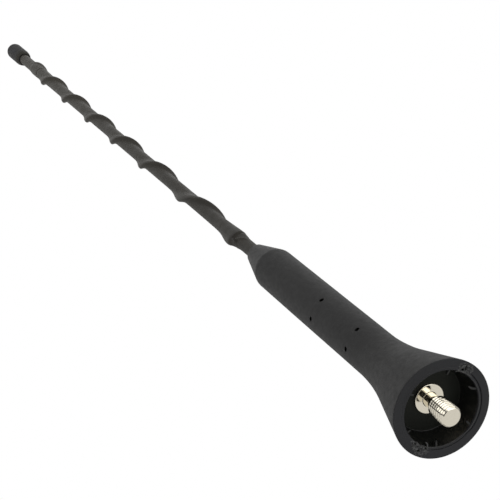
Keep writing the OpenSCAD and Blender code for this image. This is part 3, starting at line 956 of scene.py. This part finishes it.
def build_mast():
    z0, z1, dz = 96.2, 379.9, TURN_PITCH/4.6
    # rows closer together at the lower lip and at the upper crease
    zs = [z0]
    while zs[-1] < z1 - 0.25:
        z = zs[-1]
        zs.append(z + (0.12 if 113.2 < z < 121.2 or 341.0 < z < 343.0 else dz))
    zs.append(z1)
    rows = len(zs) - 1
    n = 60
    us = [2*math.pi*(k/n) - math.pi for k in range(n)]
    ds = [u - 0.34*math.sin(u - 0.12) - 0.34*math.sin(0.12) for u in us]
    verts, faces = [], []
    inner = 1.56
    for z in zs:
        p = crest(min(max(z, RIB_Z0 - 6), RIB_Z1 + 6))
        for d in ds:
            az = p + d
            r = sleeve_radius(wrap(d), z, az)
            verts.append((r*math.cos(az)*MM, r*math.sin(az)*MM, z*MM))
    for j in range(rows):
        for k in range(n):
            l = (k + 1) % n
            a, b = j*n + k, j*n + l
            c, d = a + n, b + n
            faces.append((a, b, d))
            faces.append((a, d, c))
    # the ends: a ring down to the winding, and the inner wall
    start = len(verts)
    for z in (z0, z1):
        p = crest(min(max(z, RIB_Z0 - 6), RIB_Z1 + 6))
        for d in ds:
            az = p + d
            verts.append((inner*math.cos(az)*MM, inner*math.sin(az)*MM, z*MM))
    for k in range(n):
        l = (k + 1) % n
        faces.append((k, start + k, start + l, l))
        faces.append((rows*n + l, start + n + l, start + n + k, rows*n + k))
    # the inner wall turns with the same twist as the outer rows, so its sides stay simple
    p0 = crest(min(max(z0, RIB_Z0 - 6), RIB_Z1 + 6))
    p1 = crest(min(max(z1, RIB_Z0 - 6), RIB_Z1 + 6))
    shift = int(round(((p0 - p1) % (2*math.pi))/(2*math.pi)*n)) % n
    for k in range(n):
        l = (k + 1) % n
        a, b = start + k, start + l
        c, d = start + n + (k + shift) % n, start + n + (l + shift) % n
        faces.append((b, a, c, d))
    if signed_volume(verts, faces) < 0:
        faces = [f[::-1] for f in faces]
    return make_object("mast_skin", verts, faces, 60.0, (mast_material(),))


mast = build_mast()
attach(mast, "root")
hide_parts("mast_sleeve")


# ----------------------------------------------------------------- cap
def build_cap():
    cap_r, z0, top, dome, bore = 3.4, 372.0, 393.0, 3.4, 2.165
    prof = [(bore, 373.0), (2.175, 372.4), (2.20, 372.12), (2.26, 372.02), (2.42, z0)]
    prof += bend((2.42, z0), (cap_r - 0.1, z0 + 0.9), (cap_r, z0 + 4.5), 14)
    prof += line((cap_r, z0 + 4.5), (cap_r, top - dome), 20)
    prof += [(cap_r*math.cos(rad(a)), top - dome + dome*math.sin(rad(a))) for a in range(5, 90, 5)]
    prof = [(1.26, 388.0), (1.26, 380.0), (bore, 380.0)] + prof
    # closed on the axis at both ends
    prof = [(0.0, 388.0)] + prof + [(0.0, top)]
    seg = 96
    angles = [2*math.pi*j/seg for j in range(seg)]

    def move(r, z, az, i):
        if z > z0 and r > 2.6:
            x, y = math.cos(az), math.sin(az)
            r += (0.035*n3(x*3, y*3, z, 0.25, 3.0) + 0.016*n3(x*3, y*3, z, 0.9, 7.0))*min(1.0, r/3.0) - 0.02
            for c in (0.0, math.pi):
                r += 0.03*math.exp(-((abs(wrap(az - c))*3.2)/0.10)**2)
        r = min(r, cap_r)
        return r, min(z, top)

    verts, faces = lathe(prof, angles, move, closed=False)
    return make_object("end_cap", verts, faces, 50.0, (cap_material(),))


cap = build_cap()
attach(cap, "root")
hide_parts("tip_cap")


# ----------------------------------------------------------------- the pieces inside
def dress(node, mat):
    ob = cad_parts[node]
    if not ob.material_slots:
        ob.data.materials.append(mat)
    for s in ob.material_slots:
        s.material = mat


dress("crimp_ferrule", metal_material("crimped_tube", (0.78, 0.62, 0.33), (0.66, 0.52, 0.28), 0.22, 0.34))
dress("core_rod", rod_material())
dress("wire_winding", winding_material())
dress("spiral_cord", plain_material("cord", (0.08, 0.08, 0.075), (0.13, 0.13, 0.12), 0.6, 0.75))
dress("cord_end_ties", plain_material("tie_tape", (0.22, 0.21, 0.17), (0.31, 0.29, 0.24), 0.5, 0.65))
# the nodes that the detailed pieces stand for keep the same finish
dress("boot", boot.data.materials[0])
dress("threaded_stud", stud.data.materials[0])
dress("mast_sleeve", mast.data.materials[0])
dress("tip_cap", cap.data.materials[0])


# ----------------------------------------------------------------- stage and light
def plain_object(name, verts, faces, mat):
    me = bpy.data.meshes.new(name)
    me.from_pydata(verts, [], faces)
    me.materials.append(mat)
    ob = bpy.data.objects.new(name, me)
    bpy.context.scene.collection.objects.link(ob)
    return ob


def build_floor():
    half, z, n = 12.0, -1.6, 24
    verts = [(-half + 2*half*i/n, -half + 2*half*j/n, z) for j in range(n + 1) for i in range(n + 1)]
    faces = [(j*(n+1) + i, j*(n+1) + i + 1, (j+1)*(n+1) + i + 1, (j+1)*(n+1) + i) for j in range(n) for i in range(n)]
    m = Mat("floor_paper")
    c = m.noise(0.004, 2.0, 0.5)
    m.color(m.mix(c, (0.86, 0.86, 0.86), (0.90, 0.90, 0.90)))
    m.setv("Roughness", 0.9)
    m.setv("Emission Color", (1.0, 1.0, 1.0, 1.0))
    m.setv("Emission Strength", FLOOR_GLOW)
    return plain_object("floor", verts, faces, m.mat)


def toward(az, el):
    return Vector((math.cos(rad(az))*math.cos(rad(el)), math.sin(rad(az))*math.cos(rad(el)), math.sin(rad(el))))


def card(name, az, el, dist, size, value, glow=0.0):
    """A matt or softly glowing card that faces the foot, and shows only in what reflects it."""
    d = toward(az, el)
    u = d.cross(Vector((0, 0, 1))).normalized()
    v = u.cross(d).normalized()
    c = d*dist
    seg = 48
    verts = [tuple(c)] + [tuple(c + u*math.cos(2*math.pi*k/seg)*size[0] + v*math.sin(2*math.pi*k/seg)*size[1]) for k in range(seg)]
    faces = [(0, 1 + k, 1 + (k + 1) % seg) for k in range(seg)]
    m = Mat(name + "_card")
    m.color(m.mix(m.noise(0.02, 2.0, 0.5), grey(value), grey(value*1.2)))
    m.setv("Roughness", 1.0)
    m.setv("Specular IOR Level", 0.0)
    if glow:
        m.setv("Emission Color", (1.0, 0.995, 0.985, 1.0))
        m.setv("Emission Strength", glow)
        m.mat.cycles.emission_sampling = "NONE"
    ob = plain_object(name, verts, faces, m.mat)
    ob.visible_camera = False
    ob.visible_shadow = False
    ob.visible_diffuse = False
    return ob


WORLD_LIGHT = 0.40
WORLD_TOP = 0.88
FLOOR_GLOW = 0.22
floor = build_floor()
cards = (
    card("dark_card", -94.0, -61.0, 0.45, (0.21, 0.175), 0.02),
    card("dark_strip_a", -70.0, -20.0, 0.42, (0.030, 0.20), 0.02),
    card("dark_strip_b", -115.5, -20.0, 0.42, (0.030, 0.20), 0.02),
    card("grey_card", -92.0, -8.0, 0.43, (0.11, 0.10), 0.14),
    card("bright_card", -92.0, -33.0, 0.44, (0.105, 0.062), 0.8, 0.9),
    card("bright_side", -34.0, -27.0, 0.44, (0.20, 0.12), 0.8, 1.1),
    card("bright_end", 14.0, -18.0, 0.44, (0.17, 0.14), 0.8, 0.7),
)

world = bpy.data.worlds.new("studio")
bpy.context.scene.world = world
world.use_nodes = True
wt = world.node_tree
wt.nodes.clear()
w_out = wt.nodes.new("ShaderNodeOutputWorld")
w_mix = wt.nodes.new("ShaderNodeMixShader")
w_light = wt.nodes.new("ShaderNodeBackground")
w_seen = wt.nodes.new("ShaderNodeBackground")
w_path = wt.nodes.new("ShaderNodeLightPath")
w_seen.inputs["Color"].default_value = (1.0, 1.0, 1.0, 1.0)
w_seen.inputs["Strength"].default_value = 1.0
w_light.inputs["Color"].default_value = (1.0, 0.995, 0.985, 1.0)
# the light is stronger from overhead, as from a large soft box above
w_dir = wt.nodes.new("ShaderNodeTexCoord")
w_sep = wt.nodes.new("ShaderNodeSeparateXYZ")
w_up = wt.nodes.new("ShaderNodeMapRange")
w_up.interpolation_type = "SMOOTHSTEP"
w_up.inputs["From Min"].default_value = 0.76
w_up.inputs["From Max"].default_value = 0.95
w_up.inputs["To Min"].default_value = WORLD_LIGHT
w_up.inputs["To Max"].default_value = WORLD_TOP
wt.links.new(w_dir.outputs["Generated"], w_sep.inputs[0])
wt.links.new(w_sep.outputs[2], w_up.inputs["Value"])
wt.links.new(w_up.outputs["Result"], w_light.inputs["Strength"])
wt.links.new(w_path.outputs["Is Camera Ray"], w_mix.inputs[0])
wt.links.new(w_light.outputs[0], w_mix.inputs[1])
wt.links.new(w_seen.outputs[0], w_mix.inputs[2])
wt.links.new(w_mix.outputs[0], w_out.inputs["Surface"])


def soft_box(name, az, el, dist, size, radiance, color=(1.0, 1.0, 1.0), look=(0.0, 0.0, 0.0)):
    ld = bpy.data.lights.new(name, "AREA")
    ld.shape = "RECTANGLE"
    ld.size, ld.size_y = size
    ld.energy = radiance*math.pi*size[0]*size[1]
    ld.color = color
    ob = bpy.data.objects.new(name, ld)
    bpy.context.scene.collection.objects.link(ob)
    ob.location = Vector(look) + toward(az, el)*dist
    ob.rotation_euler = (-toward(az, el)).to_track_quat("-Z", "Y").to_euler()
    ob.visible_camera = False
    return ob


soft_box("soft_low", 2.0, -50.0, 0.60, (0.50, 0.50), 1.1)
soft_box("soft_high", 40.0, 55.0, 1.20, (0.80, 0.80), 0.25, look=(0.0, 0.0, 0.15))

scene = bpy.context.scene
scene.view_settings.view_transform = "Standard"
scene.view_settings.look = "None"
scene.view_settings.exposure = 0.0
scene.view_settings.gamma = 1.0
